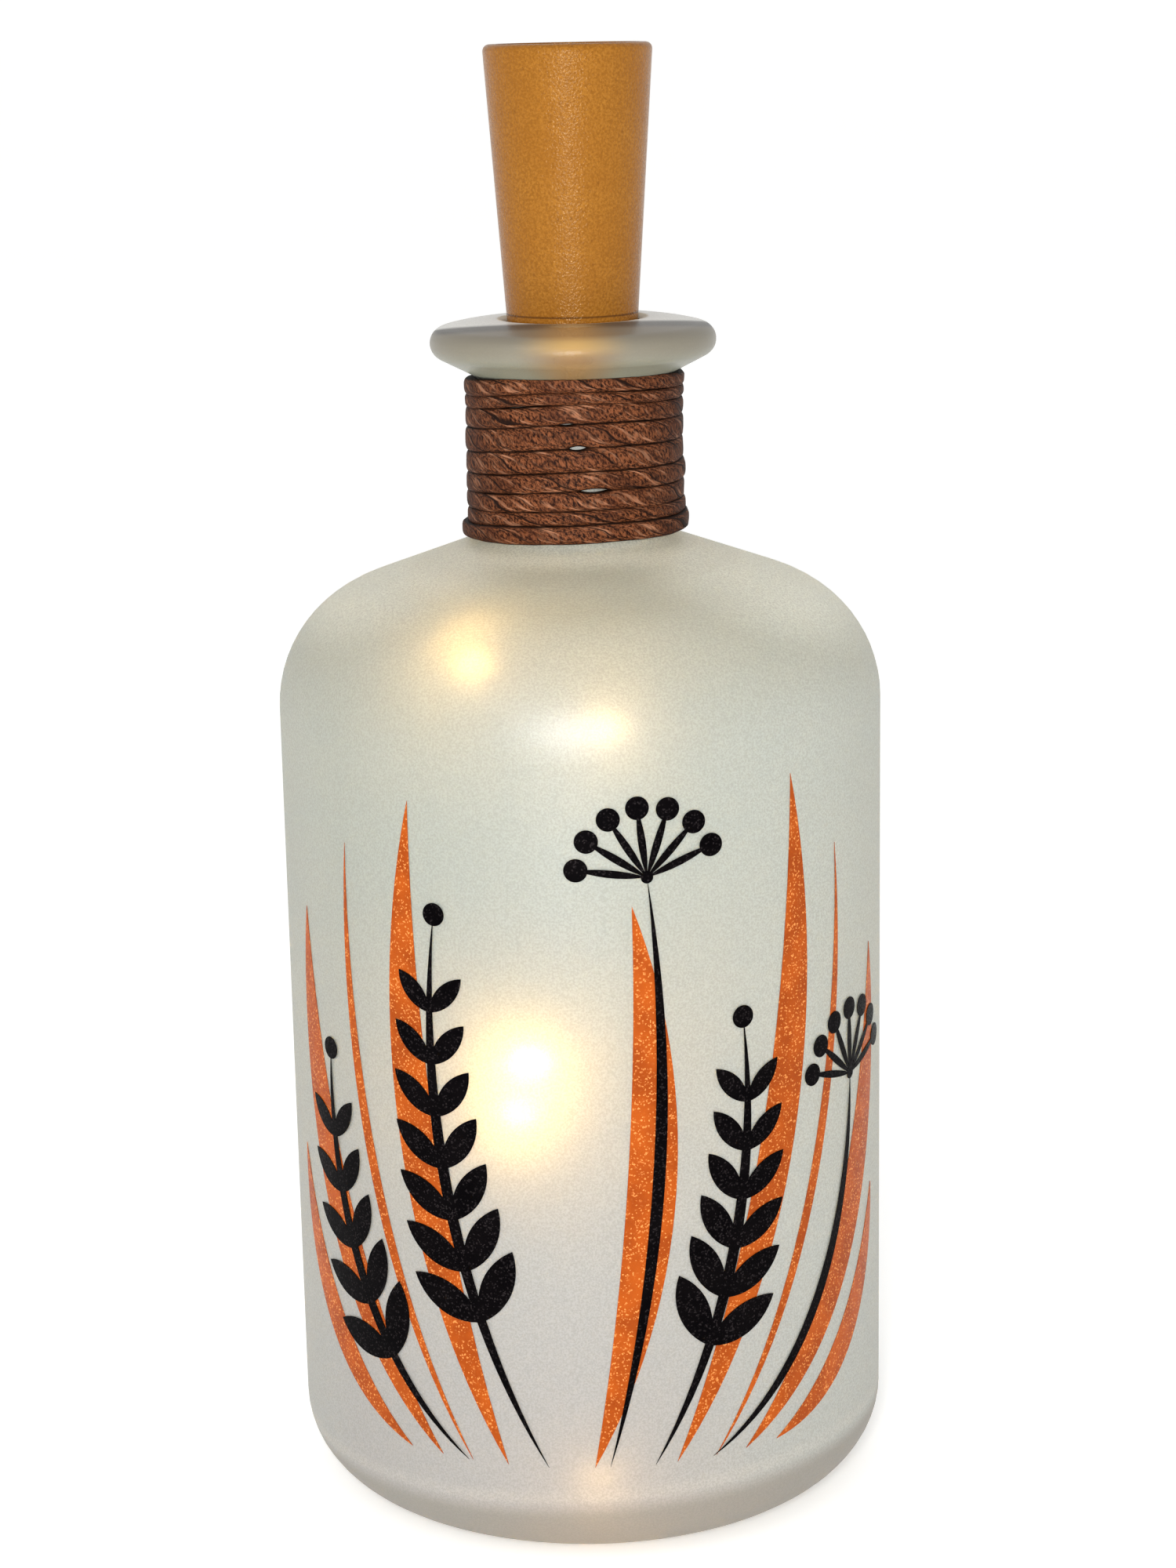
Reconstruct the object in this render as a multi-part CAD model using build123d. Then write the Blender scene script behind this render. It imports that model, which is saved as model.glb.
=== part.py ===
from build123d import *
import math
import os

# A frosted bottle with a cord-wound neck, lit by a string of LEDs that hangs from a
# cork-shaped stopper. Millimetres and degrees. The origin is the middle of the base,
# +Z runs up the bottle and the printed front faces -Y.

# Bottle
BODY_RADIUS = 40.5
BOTTLE_HEIGHT = 160.0
NECK_AND_SHOULDER = 51.0
HEEL_RADIUS = 11.0
SHOULDER_RADIUS = 17.4
SHOULDER_SLOPE = 20.0
GLASS_WALL = 3.0
BASE_THICKNESS = 5.0
INNER_HEEL_RADIUS = 8.0
PUNT_DEPTH = 4.0
REST_RING_WIDTH = 3.5
NECK_RADIUS = 12.7
NECK_ROUND = 2.5
MOUTH_RADIUS = 8.7
MOUTH_ROUND = 1.2
LIP_RADIUS = 18.9
LIP_THICKNESS = 4.4
LIP_FLARE = 27.0
LIP_CROWN = 14.0
LIP_ROOT_ROUND = 1.0

# Cord wound round the neck
CORD_DIAMETER = 1.6
CORD_PITCH_GAP = 0.42
CORD_NECK_GAP = 0.1
CORD_LIP_GAP = 0.1

# Vinyl print on the front. A stroke has the shares across the panel of its foot and tip,
# the share of the panel's height that its tip reaches and its bow, and a blade its width
PRINT_HALF_ANGLE = 70.0
PRINT_MARGIN = 4.0
FILM_THICKNESS = 0.08
FILM_GAP = 0.02
ORANGE_BLADES = [
    (-0.52, -1.00, 0.40, 5.0, 4.4),
    (-0.42, -0.92, 0.78, 7.0, 6.0),
    (-0.33, -0.70, 0.90, 6.0, 1.6),
    (-0.23, -0.47, 0.98, 6.0, 5.6),
    (0.00, 0.12, 0.84, -5.0, 6.4),
    (0.22, 0.58, 1.00, -7.0, 5.6),
    (0.33, 0.76, 0.88, -7.0, 1.6),
    (0.42, 0.98, 0.70, -8.0, 6.0),
    (0.52, 1.00, 0.32, -5.0, 4.4),
]
BLACK_SPRIGS = [
    (-0.34, -0.80, 0.58, 7.0),
    (-0.12, -0.40, 0.82, 6.0),
    (0.16, 0.42, 0.66, -5.0),
]
BLACK_UMBELS = [
    (0.04, 0.16, 0.88, -4.0),
    (0.32, 0.84, 0.52, -7.0),
]
STEM_WIDTH = 1.6
LEAF_LENGTH = 11.0
LEAF_WIDTH = 4.2
LEAF_PITCH = 6.5
LEAF_ANGLE = 42.0
LEAF_START = 0.28
LEAF_SPREAD = 0.64
LEAF_SHRINK = 0.45
RAY_COUNT = 7
RAY_LENGTH = 9.0
RAY_WIDTH = 1.0
RAY_FAN = 150.0
BERRY_RADIUS = 1.5

# Stopper shell
STOPPER_LENGTH = 60.0
STOPPER_STAND_OUT = 35.2
STOPPER_TAPER = 3.9
STOPPER_GAP = 0.12
STOPPER_TOP_ROUND = 0.9
STOPPER_FOOT_ROUND = 0.6
STOPPER_FLOOR = 4.0
RIM_WALL = 1.5
LEAD_BORE_RADIUS = 4.6
NOTCH_DEPTH = 6.5

# Lid, its screw and the boss that takes the screw
LID_RECESS = 1.2
LID_THICKNESS = 1.6
LID_GAP = 0.15
SCREW_RADIUS = 0.8
SCREW_GAP = 0.1
SCREW_HEAD_RADIUS = 1.6
SCREW_HEAD_DEPTH = 0.9
SCREW_LENGTH = 5.2
SCREW_SLOT_WIDTH = 0.4
SCREW_SLOT_DEPTH = 0.45
BOSS_RADIUS = 2.0
BOSS_INSET = 0.6
BOSS_BOARD_GAP = 0.3

# Slide switch and circuit board
SWITCH_LENGTH = 8.6
SWITCH_WIDTH = 4.4
SWITCH_HEIGHT = 4.6
SWITCH_LID_GAP = 0.2
SWITCH_TRAVEL = 2.2
SWITCH_SLOT_DEPTH = 2.4
KNOB_LENGTH = 2.2
KNOB_WIDTH = 1.8
KNOB_GAP = 0.2
KNOB_SINK = 0.2
KNOB_GROOVE = 0.3
KNOB_GROOVE_PITCH = 0.63
TERMINAL_PITCH = 2.5
TERMINAL_COUNT = 3
TERMINAL_WIDTH = 0.7
TERMINAL_REACH = 1.3
TERMINAL_THICKNESS = 0.25
BOARD_THICKNESS = 1.0
BOARD_GAP = 0.25
RESISTOR_LENGTH = 2.0
RESISTOR_WIDTH = 1.25
RESISTOR_HEIGHT = 0.55
RESISTOR_INSET = 2.6

# Button cells, their holder and contacts
CELL_RADIUS = 5.8
CELL_HEIGHT = 5.4
CELL_COUNT = 3
CELL_CAP_INSET = 0.9
CELL_CAP_HEIGHT = 0.7
CELL_GAP = 0.15
HOLDER_WALL = 1.25
HOLDER_FLOOR = 1.5
HOLDER_GAP = 0.25
CONTACT_THICKNESS = 0.3
CONTACT_INSET = 1.2
STUD_RADIUS = 0.5
STUD_RISE = 0.4
STUD_SWITCH_GAP = 0.7
SPRING_HEIGHT = 3.2
SPRING_WIRE = 0.5
SPRING_TOP_RADIUS = 2.4
SPRING_TURNS = 2.5
SPRING_INSET = 0.7
SPRING_SEAT_GAP = 0.05

# Leads, splice and grommet
LEAD_DIAMETER = 0.8
LEAD_GAP = 0.25
LEAD_SPACING = 1.0
SPLICE_LENGTH = 8.0
SPLICE_WALL = 0.35
SOLDER_LENGTH = 1.0
FIT_GAP = 0.05
GROMMET_RADIUS = 1.7
GROMMET_FLANGE = 3.0
GROMMET_FLANGE_THICKNESS = 1.2
GROMMET_LIP = 2.3
GROMMET_LIP_THICKNESS = 0.8

# Light string: the route of the wire below the stopper, drawn for a hollow of this radius
# and wall height, then the runs that hold a drop
WIRE_DIAMETER = 0.5
ROUTE_RADIUS = 37.5
ROUTE_WALL_TOP = 109.0
WIRE_ROUTE = [
    (0, 0, 127),
    (-16, 12, 121),
    (-30, -2, 120),
    (-22.5, -22, 119),
    (-3.5, -32, 117.5),
    (23, -23, 114.5),
    (31, 4, 114),
    (20, 26, 113),
    (-6, 31, 112.5),
    (-28, 14, 112.5),
    (-28, -13, 112.5),
    (-11, -35, 112.4),
    (17, -31.4, 111.4),
    (34, 0, 106),
    (18, 29, 98),
    (-14, 30, 90),
    (-33, 4, 82),
    (-21.7, -31.4, 70.5),
    (7.7, -37.4, 67.5),
    (33, -8, 66.5),
    (24, 23, 65),
    (-8, 32, 64.5),
    (-32, 9, 64),
    (-23, -30.4, 63),
    (6, -37.6, 61),
    (30, -16, 57),
    (29, 18, 49),
    (-2, 33, 41),
    (-28, 16, 32),
    (-15, -25.2, 8.9),
    (16, -26.3, 7.3),
    (27, 2, 13),
    (18, 24, 9.5),
    (-4, 26, 8),
]
DROP_RUNS = [4, 8, 12, 15, 18, 21, 24, 27, 30]
DROP_LENGTH = 4.6
DROP_DIAMETER = 2.8
CHIP_LENGTH = 1.0
CHIP_WIDTH = 0.8
CHIP_HEIGHT = 0.5

# Share of the shorter run that each arc of a wire takes up
ARC_SHARE = 0.45

# Heights of the bottle, then of the stopper's inner parts from its top down
WALL_TOP = BOTTLE_HEIGHT - NECK_AND_SHOULDER
SEAT_Z = BOTTLE_HEIGHT - MOUTH_ROUND
SEAT_RADIUS = MOUTH_RADIUS - STOPPER_GAP
TOP_Z = BOTTLE_HEIGHT + STOPPER_STAND_OUT
FOOT_Z = TOP_Z - STOPPER_LENGTH
FLOOR_Z = FOOT_Z + STOPPER_FLOOR
LID_TOP_Z = TOP_Z - LID_RECESS
LID_SEAT_Z = LID_TOP_Z - LID_THICKNESS
SWITCH_TOP_Z = LID_SEAT_Z - SWITCH_LID_GAP
BOARD_TOP_Z = SWITCH_TOP_Z - SWITCH_HEIGHT
BOARD_Z = BOARD_TOP_Z - BOARD_THICKNESS
CELLS_TOP_Z = BOARD_Z - CONTACT_THICKNESS
CELLS_Z = CELLS_TOP_Z - CELL_COUNT * CELL_HEIGHT
SPRING_Z = CELLS_Z - SPRING_HEIGHT
HOLDER_FLOOR_Z = SPRING_Z - CONTACT_THICKNESS
LEDGE_Z = HOLDER_FLOOR_Z - HOLDER_FLOOR
SPLICE_Z = FLOOR_Z + GROMMET_FLANGE_THICKNESS + FIT_GAP
SPLICE_TOP_Z = SPLICE_Z + SPLICE_LENGTH
SOLDER_Z = SPLICE_Z + (SPLICE_LENGTH - SOLDER_LENGTH) / 2
SOLDER_TOP_Z = SOLDER_Z + SOLDER_LENGTH

# Radii that follow from the fits
HOLDER_BORE = CELL_RADIUS + CELL_GAP
HOLDER_RADIUS = HOLDER_BORE + HOLDER_WALL
CAVITY_RADIUS = HOLDER_RADIUS + HOLDER_GAP
BOARD_RADIUS = CAVITY_RADIUS - BOARD_GAP
CONTACT_RADIUS = CELL_RADIUS - CONTACT_INSET
LEAD_X = HOLDER_BORE + HOLDER_WALL / 2
LEAD_RADIUS = LEAD_DIAMETER / 2
LEAD_SLOT_WIDTH = LEAD_DIAMETER + 2 * LEAD_GAP
SPLICE_BORE = LEAD_SPACING / 2 + LEAD_RADIUS + 2 * FIT_GAP
SCREW_Y = CAVITY_RADIUS - BOSS_INSET
STUD_Y = -SWITCH_WIDTH / 2 - STUD_SWITCH_GAP - STUD_RADIUS
KNOB_X = SWITCH_TRAVEL / 2
CORD_RADIUS = CORD_DIAMETER / 2
WIRE_RADIUS = WIRE_DIAMETER / 2


def stopper_radius(z):
    return SEAT_RADIUS + (z - SEAT_Z) * math.tan(math.radians(STOPPER_TAPER))


def turned(edges):
    """Revolve a closed profile, drawn as radius and height, about the vertical axis."""
    return revolve(Plane.XZ * make_face(edges), axis=Axis.Z)


def disc(radius, bottom, top, x=0.0, y=0.0):
    upright = Cylinder(radius, top - bottom, align=(Align.CENTER, Align.CENTER, Align.MIN))
    return Pos(x, y, bottom) * upright


def block(length, width, bottom, top, x=0.0, y=0.0):
    upright = Box(length, width, top - bottom, align=(Align.CENTER, Align.CENTER, Align.MIN))
    return Pos(x, y, bottom) * upright


def shoulder_height(radius, inset):
    """Height of the sloping shoulder at a radius, on a surface that far inside the outer one."""
    slope = math.radians(SHOULDER_SLOPE)
    arc_end = BODY_RADIUS - SHOULDER_RADIUS * (1 - math.sin(slope))
    arc_top = WALL_TOP + SHOULDER_RADIUS * math.cos(slope)
    return arc_top + (arc_end - radius) * math.tan(slope) - inset / math.cos(slope)


def shoulder_edges(wall_radius, arc_radius, neck_radius, inset):
    """Arc, slope and round from the straight wall in to the neck, for one glass surface."""
    slope = math.radians(SHOULDER_SLOPE)
    run = NECK_ROUND * math.tan((math.pi / 2 - slope) / 2)
    wall = (wall_radius, WALL_TOP)
    arc_end = (
        wall_radius - arc_radius * (1 - math.sin(slope)),
        WALL_TOP + arc_radius * math.cos(slope),
    )
    corner_z = shoulder_height(neck_radius, inset)
    round_start = (neck_radius + run * math.cos(slope), corner_z - run * math.sin(slope))
    round_end = (neck_radius, corner_z + run)
    return [
        TangentArc(wall, arc_end, tangent=(0, 1)),
        Line(arc_end, round_start),
        TangentArc(round_start, round_end, tangent=(-math.cos(slope), math.sin(slope))),
    ]


def neck_foot():
    """Height where the straight outside of the neck starts."""
    half_turn = math.radians(90 - SHOULDER_SLOPE) / 2
    return shoulder_height(NECK_RADIUS, 0) + NECK_ROUND * math.tan(half_turn)


def lip_middle():
    """Radius and height of the middle of the lip's rounded edge, outside its crowned top."""
    crown = math.radians(LIP_CROWN)
    edge = LIP_THICKNESS / 2
    radius = LIP_RADIUS - edge
    run = radius + edge * math.sin(crown) - MOUTH_RADIUS - MOUTH_ROUND
    drop = run * math.tan(crown / 2)
    return radius, BOTTLE_HEIGHT - drop - edge * math.cos(crown)


def lip_edges():
    """Outside of the lip, from the neck's top over its flare, rounded edge and crown to the mouth."""
    flare = math.radians(LIP_FLARE)
    crown = math.radians(LIP_CROWN)
    edge = LIP_THICKNESS / 2
    middle = lip_middle()
    flare_end = (middle[0] + edge * math.sin(flare), middle[1] - edge * math.cos(flare))
    crown_start = (middle[0] + edge * math.sin(crown), middle[1] + edge * math.cos(crown))
    corner_z = lip_underside(NECK_RADIUS)
    run = LIP_ROOT_ROUND * math.tan((math.pi / 2 - flare) / 2)
    root_start = (NECK_RADIUS, corner_z - run)
    root_end = (NECK_RADIUS + run * math.cos(flare), corner_z + run * math.sin(flare))
    return [
        TangentArc(root_start, root_end, tangent=(0, 1)),
        Line(root_end, flare_end),
        ThreePointArc(flare_end, (LIP_RADIUS, middle[1]), crown_start),
        TangentArc(
            crown_start,
            (MOUTH_RADIUS + MOUTH_ROUND, BOTTLE_HEIGHT),
            tangent=(-math.cos(crown), math.sin(crown)),
        ),
    ]


def lip_underside(radius):
    """Height of the lip's flared underside at a radius."""
    flare = math.radians(LIP_FLARE)
    edge = LIP_THICKNESS / 2
    middle = lip_middle()
    end_r = middle[0] + edge * math.sin(flare)
    end_z = middle[1] - edge * math.cos(flare)
    return end_z - (end_r - radius) * math.tan(flare)


def bottle_glass():
    heel_r = BODY_RADIUS - HEEL_RADIUS
    rest_r = heel_r - REST_RING_WIDTH
    inner_r = BODY_RADIUS - GLASS_WALL
    floor_r = inner_r - INNER_HEEL_RADIUS
    outer = shoulder_edges(BODY_RADIUS, SHOULDER_RADIUS, NECK_RADIUS, 0)
    lip = lip_edges()
    inner = shoulder_edges(inner_r, SHOULDER_RADIUS - GLASS_WALL, MOUTH_RADIUS, GLASS_WALL)
    edges = [
        TangentArc((0, PUNT_DEPTH), (rest_r, 0), tangent=(1, 0)),
        Line((rest_r, 0), (heel_r, 0)),
        TangentArc((heel_r, 0), (BODY_RADIUS, HEEL_RADIUS), tangent=(1, 0)),
        Line((BODY_RADIUS, HEEL_RADIUS), (BODY_RADIUS, WALL_TOP)),
        *outer,
        Line(outer[-1] @ 1, lip[0] @ 0),
        *lip,
        TangentArc(
            (MOUTH_RADIUS + MOUTH_ROUND, BOTTLE_HEIGHT),
            (MOUTH_RADIUS, SEAT_Z),
            tangent=(-1, 0),
        ),
        Line((MOUTH_RADIUS, SEAT_Z), inner[-1] @ 1),
        *inner,
        Line((inner_r, WALL_TOP), (inner_r, BASE_THICKNESS + INNER_HEEL_RADIUS)),
        TangentArc(
            (inner_r, BASE_THICKNESS + INNER_HEEL_RADIUS),
            (floor_r, BASE_THICKNESS),
            tangent=(0, -1),
        ),
        TangentArc(
            (0, BASE_THICKNESS + PUNT_DEPTH),
            (floor_r, BASE_THICKNESS),
            tangent=(1, 0),
        ),
        Line((0, BASE_THICKNESS + PUNT_DEPTH), (0, PUNT_DEPTH)),
    ]
    return turned(edges)


def biarc(start, start_way, end, end_way):
    """Two arcs that join two points, each point with its own direction."""
    span = end - start
    both = start_way + end_way
    bend = 2 * (1 - start_way.dot(end_way))
    slant = span.dot(both)
    reach = (-slant + math.sqrt(slant**2 + bend * span.dot(span))) / bend
    first_hand = start + start_way * reach
    last_hand = end - end_way * reach
    middle = (first_hand + last_hand) * 0.5
    return [
        Edge.make_tangent_arc(start, start_way, middle),
        Edge.make_tangent_arc(middle, last_hand - first_hand, end),
    ]


def coil(start_radius, end_radius, start_z, end_z, turns, wire, start_angle):
    """One unbroken winding: a biarc for each quarter turn and a straight end each way."""
    quarters = round(turns * 4)
    sweep_angle = quarters * math.pi / 2
    widening = (end_radius - start_radius) / sweep_angle
    climb = (end_z - start_z) / sweep_angle
    points = []
    ways = []
    for quarter in range(quarters + 1):
        turned_by = quarter * math.pi / 2
        angle = math.radians(start_angle) + turned_by
        radius = start_radius + widening * turned_by
        out = Vector(math.cos(angle), math.sin(angle), 0)
        along = Vector(-math.sin(angle), math.cos(angle), 0)
        points.append(out * radius + Vector(0, 0, start_z + climb * turned_by))
        ways.append((out * widening + along * radius + Vector(0, 0, climb)).normalized())
    edges = [Edge.make_line(points[0] - ways[0] * wire, points[0])]
    for quarter in range(quarters):
        edges += biarc(points[quarter], ways[quarter], points[quarter + 1], ways[quarter + 1])
    edges.append(Edge.make_line(points[-1], points[-1] + ways[-1] * wire))
    print("least gap of a winding to itself", round(least_gap(edges, wire), 3))
    return tube(Wire(edges), wire / 2)


def least_gap(edges, wire):
    """Least gap between a winding's neighbouring turns, measured on points along it."""
    steps = 6
    arcs_in_half_turn = 4
    points = [edge @ (step / steps) for edge in edges for step in range(steps)]
    half_turn = steps * arcs_in_half_turn
    nearest = min(
        (points[late] - points[early]).length
        for early in range(len(points))
        for late in range(early + half_turn, len(points))
    )
    return nearest - wire


def tube(path, radius):
    section = Plane(origin=path @ 0, z_dir=path % 0) * Circle(radius)
    return sweep(section, path=path)


def routed_tube(name, points, diameter):
    """Tube along straight runs joined by arcs as large as the runs allow."""
    places = [Vector(*point) for point in points]
    radii = []
    for before, corner, after in zip(places, places[1:], places[2:]):
        run_in = corner - before
        run_out = after - corner
        half_turn = math.radians(run_in.get_angle(run_out)) / 2
        radii.append(ARC_SHARE * min(run_in.length, run_out.length) / math.tan(half_turn))
    path = FilletPolyline(*places, radius=radii)
    solid = tube(path, diameter / 2)
    share = solid.volume / (math.pi * diameter**2 / 4 * path.length)
    print(name, "length", round(path.length, 1), "volume share", round(share, 4))
    print(name, "bend radii", [round(radius, 1) for radius in radii])
    return solid


def neck_cord():
    middle = NECK_RADIUS + CORD_NECK_GAP + CORD_RADIUS
    bottom = neck_foot()
    clear = (CORD_RADIUS + CORD_LIP_GAP) / math.cos(math.radians(LIP_FLARE))
    top = lip_underside(middle) - clear
    turns = int((top - bottom) / (CORD_DIAMETER + CORD_PITCH_GAP))
    return coil(middle, middle, bottom, top, turns, CORD_DIAMETER, 90)


def lens(start, end, bow, width):
    """A pointed stroke between two arcs, bowed to the left of its way."""
    middle = (start + end) * 0.5
    side = (end - start).normalized().rotate(Axis.Z, 90)
    left = ThreePointArc(start, middle + side * (bow + width / 2), end)
    right = ThreePointArc(start, middle + side * (bow - width / 2), end)
    return make_face([left, right])


def stem_line(foot, tip, bow):
    side = (tip - foot).normalized().rotate(Axis.Z, 90)
    return ThreePointArc(foot, (foot + tip) * 0.5 + side * bow, tip)


def blade(foot, tip, bow, width):
    return [lens(foot, tip, bow, width)]


def sprig(foot, tip, bow):
    """A stem with pairs of leaves that get smaller towards its tip, and a berry there."""
    stem = stem_line(foot, tip, bow)
    pairs = int(LEAF_SPREAD * stem.length / LEAF_PITCH)
    shapes = [lens(foot, tip, bow, STEM_WIDTH), Pos(*tip) * Circle(BERRY_RADIUS)]
    for pair in range(pairs):
        share = LEAF_START + LEAF_SPREAD * pair / pairs
        size = 1 - LEAF_SHRINK * pair / pairs
        for turn in (LEAF_ANGLE, -LEAF_ANGLE):
            root = stem @ share
            end = root + (stem % share).rotate(Axis.Z, turn) * LEAF_LENGTH * size
            shapes.append(lens(root, end, 0, LEAF_WIDTH * size))
    return shapes


def umbel(foot, tip, bow):
    """A stem that ends in a fan of rays, each with a berry on its end."""
    stem = stem_line(foot, tip, bow)
    shapes = [lens(foot, tip, bow, STEM_WIDTH), Pos(*tip) * Circle(STEM_WIDTH / 2)]
    for ray in range(RAY_COUNT):
        turn = RAY_FAN * (ray / (RAY_COUNT - 1) - 0.5)
        end = tip + (stem % 1).rotate(Axis.Z, turn) * RAY_LENGTH
        shapes.append(lens(tip, end, 0, RAY_WIDTH))
        shapes.append(Pos(*end) * Circle(BERRY_RADIUS))
    return shapes


def film(draw, stroke, layer):
    """One stroke, drawn flat on the plane that touches the wall behind its middle, then
    wrapped on to the wall as a thin film in the given layer."""
    foot, tip, height, *shape = stroke
    turn = PRINT_HALF_ANGLE * (foot + tip) / 2
    reach = BODY_RADIUS * math.sin(math.radians(PRINT_HALF_ANGLE * (tip - foot) / 2))
    bottom = HEEL_RADIUS + PRINT_MARGIN
    top = bottom + height * (WALL_TOP - PRINT_MARGIN - bottom)
    shapes = draw(Vector(-reach, bottom), Vector(reach, top), *shape)
    prism = extrude(Plane.XZ * (Sketch() + shapes), amount=2 * BODY_RADIUS)
    inner = BODY_RADIUS + FILM_GAP + layer * (FILM_THICKNESS + FILM_GAP)
    ring = disc(inner + FILM_THICKNESS, HEEL_RADIUS, WALL_TOP) - disc(inner, HEEL_RADIUS, WALL_TOP)
    return Rot(0, 0, turn) * prism & ring


def films(draw, strokes, layer):
    return [solid for stroke in strokes for solid in film(draw, stroke, layer).solids()]


def print_orange():
    return Compound(films(blade, ORANGE_BLADES, 0))


def print_black():
    return Compound(films(sprig, BLACK_SPRIGS, 1) + films(umbel, BLACK_UMBELS, 1))


def cork_shell():
    recess_r = stopper_radius(LID_SEAT_Z) - RIM_WALL
    hole_r = GROMMET_RADIUS + FIT_GAP
    outline = Polyline(
        (hole_r, FOOT_Z),
        (stopper_radius(FOOT_Z), FOOT_Z),
        (stopper_radius(TOP_Z), TOP_Z),
        (recess_r, TOP_Z),
        (recess_r, LID_SEAT_Z),
        (CAVITY_RADIUS, LID_SEAT_Z),
        (CAVITY_RADIUS, LEDGE_Z),
        (LEAD_BORE_RADIUS, LEDGE_Z),
        (LEAD_BORE_RADIUS, FLOOR_Z),
        (hole_r, FLOOR_Z),
        close=True,
    )
    section = make_face(outline)
    foot_edge = section.vertices().sort_by_distance((stopper_radius(FOOT_Z), FOOT_Z, 0))[0]
    section = fillet(foot_edge, STOPPER_FOOT_ROUND)
    top_edge = section.vertices().sort_by_distance((stopper_radius(TOP_Z), TOP_Z, 0))[0]
    section = fillet(top_edge, STOPPER_TOP_ROUND)
    shell = revolve(Plane.XZ * section, axis=Axis.Z)
    boss_z = BOARD_TOP_Z + BOSS_BOARD_GAP
    shell += disc(BOSS_RADIUS, boss_z, LID_SEAT_Z, y=SCREW_Y)
    shell -= disc(SCREW_RADIUS + SCREW_GAP, boss_z, LID_SEAT_Z, y=SCREW_Y)
    notch_length = LEAD_X + LEAD_RADIUS + LEAD_GAP
    shell -= block(
        notch_length, LEAD_SLOT_WIDTH, LEDGE_Z - NOTCH_DEPTH, LEDGE_Z, x=notch_length / 2
    )
    return shell


def screw_cone(gap):
    """The countersunk head, or with a gap the hole for it, up to the lid's top."""
    shank = SCREW_RADIUS + gap
    head = SCREW_HEAD_RADIUS + gap
    cone = Cone(shank, head, SCREW_HEAD_DEPTH, align=(Align.CENTER, Align.CENTER, Align.MAX))
    return Pos(0, SCREW_Y, LID_TOP_Z) * cone


def battery_lid():
    radius = stopper_radius(LID_SEAT_Z) - RIM_WALL - LID_GAP
    lid = disc(radius, LID_SEAT_Z, LID_TOP_Z)
    slot_length = KNOB_LENGTH + SWITCH_TRAVEL + 2 * KNOB_GAP
    lid -= block(slot_length, KNOB_WIDTH + 2 * KNOB_GAP, LID_SEAT_Z, LID_TOP_Z)
    lid -= disc(SCREW_RADIUS + SCREW_GAP, LID_SEAT_Z, LID_TOP_Z, y=SCREW_Y)
    return lid - screw_cone(SCREW_GAP)


def lid_screw():
    screw = disc(SCREW_RADIUS, LID_TOP_Z - SCREW_LENGTH, LID_TOP_Z, y=SCREW_Y) + screw_cone(0)
    slot_z = LID_TOP_Z - SCREW_SLOT_DEPTH
    arm = 2 * SCREW_RADIUS
    screw -= block(arm, SCREW_SLOT_WIDTH, slot_z, LID_TOP_Z, y=SCREW_Y)
    screw -= block(SCREW_SLOT_WIDTH, arm, slot_z, LID_TOP_Z, y=SCREW_Y)
    return screw


def switch_body():
    body = block(SWITCH_LENGTH, SWITCH_WIDTH, BOARD_TOP_Z, SWITCH_TOP_Z)
    slot_length = KNOB_LENGTH + SWITCH_TRAVEL + 2 * KNOB_GAP
    slot_z = SWITCH_TOP_Z - SWITCH_SLOT_DEPTH
    return body - block(slot_length, KNOB_WIDTH + 2 * KNOB_GAP, slot_z, SWITCH_TOP_Z)


def switch_knob():
    bottom = SWITCH_TOP_Z - SWITCH_SLOT_DEPTH + KNOB_GAP
    top = TOP_Z - KNOB_SINK
    knob = block(KNOB_LENGTH, KNOB_WIDTH, bottom, top, x=KNOB_X)
    for side in (-1, 0, 1):
        groove_x = KNOB_X + side * KNOB_GROOVE_PITCH
        knob -= block(KNOB_GROOVE, KNOB_WIDTH, top - KNOB_GROOVE, top, x=groove_x)
    return knob


def switch_terminals():
    y = (SWITCH_WIDTH + TERMINAL_REACH) / 2
    top = BOARD_TOP_Z + TERMINAL_THICKNESS
    first = -TERMINAL_PITCH * (TERMINAL_COUNT - 1) / 2
    return Compound([
        block(TERMINAL_WIDTH, TERMINAL_REACH, BOARD_TOP_Z, top, first + leg * TERMINAL_PITCH, y)
        for leg in range(TERMINAL_COUNT)
    ])


def circuit_board():
    board = disc(BOARD_RADIUS, BOARD_Z, BOARD_TOP_Z)
    return board - disc(STUD_RADIUS + FIT_GAP, BOARD_Z, BOARD_TOP_Z, y=STUD_Y)


def resistor():
    top = BOARD_TOP_Z + RESISTOR_HEIGHT
    x = -RESISTOR_LENGTH - STUD_RADIUS
    y = RESISTOR_INSET - BOARD_RADIUS
    return block(RESISTOR_LENGTH, RESISTOR_WIDTH, BOARD_TOP_Z, top, x, y)


def positive_contact():
    plate = disc(CONTACT_RADIUS, CELLS_TOP_Z, BOARD_Z)
    return plate + disc(STUD_RADIUS, CELLS_TOP_Z, BOARD_TOP_Z + STUD_RISE, y=STUD_Y)


def battery_cell(place):
    bottom = CELLS_Z + place * CELL_HEIGHT
    can = disc(CELL_RADIUS, bottom + CELL_CAP_HEIGHT, bottom + CELL_HEIGHT)
    return can + disc(CELL_RADIUS - CELL_CAP_INSET, bottom, bottom + CELL_CAP_HEIGHT)


def battery_holder():
    holder = disc(HOLDER_RADIUS, LEDGE_Z, BOARD_Z) - disc(HOLDER_BORE, HOLDER_FLOOR_Z, BOARD_Z)
    holder -= disc(LEAD_RADIUS + LEAD_GAP, LEDGE_Z, HOLDER_FLOOR_Z)
    slot_length = HOLDER_RADIUS - CONTACT_RADIUS
    slot_x = HOLDER_RADIUS - slot_length / 2
    return holder - block(slot_length, LEAD_SLOT_WIDTH, LEDGE_Z, BOARD_Z, x=slot_x)


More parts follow.
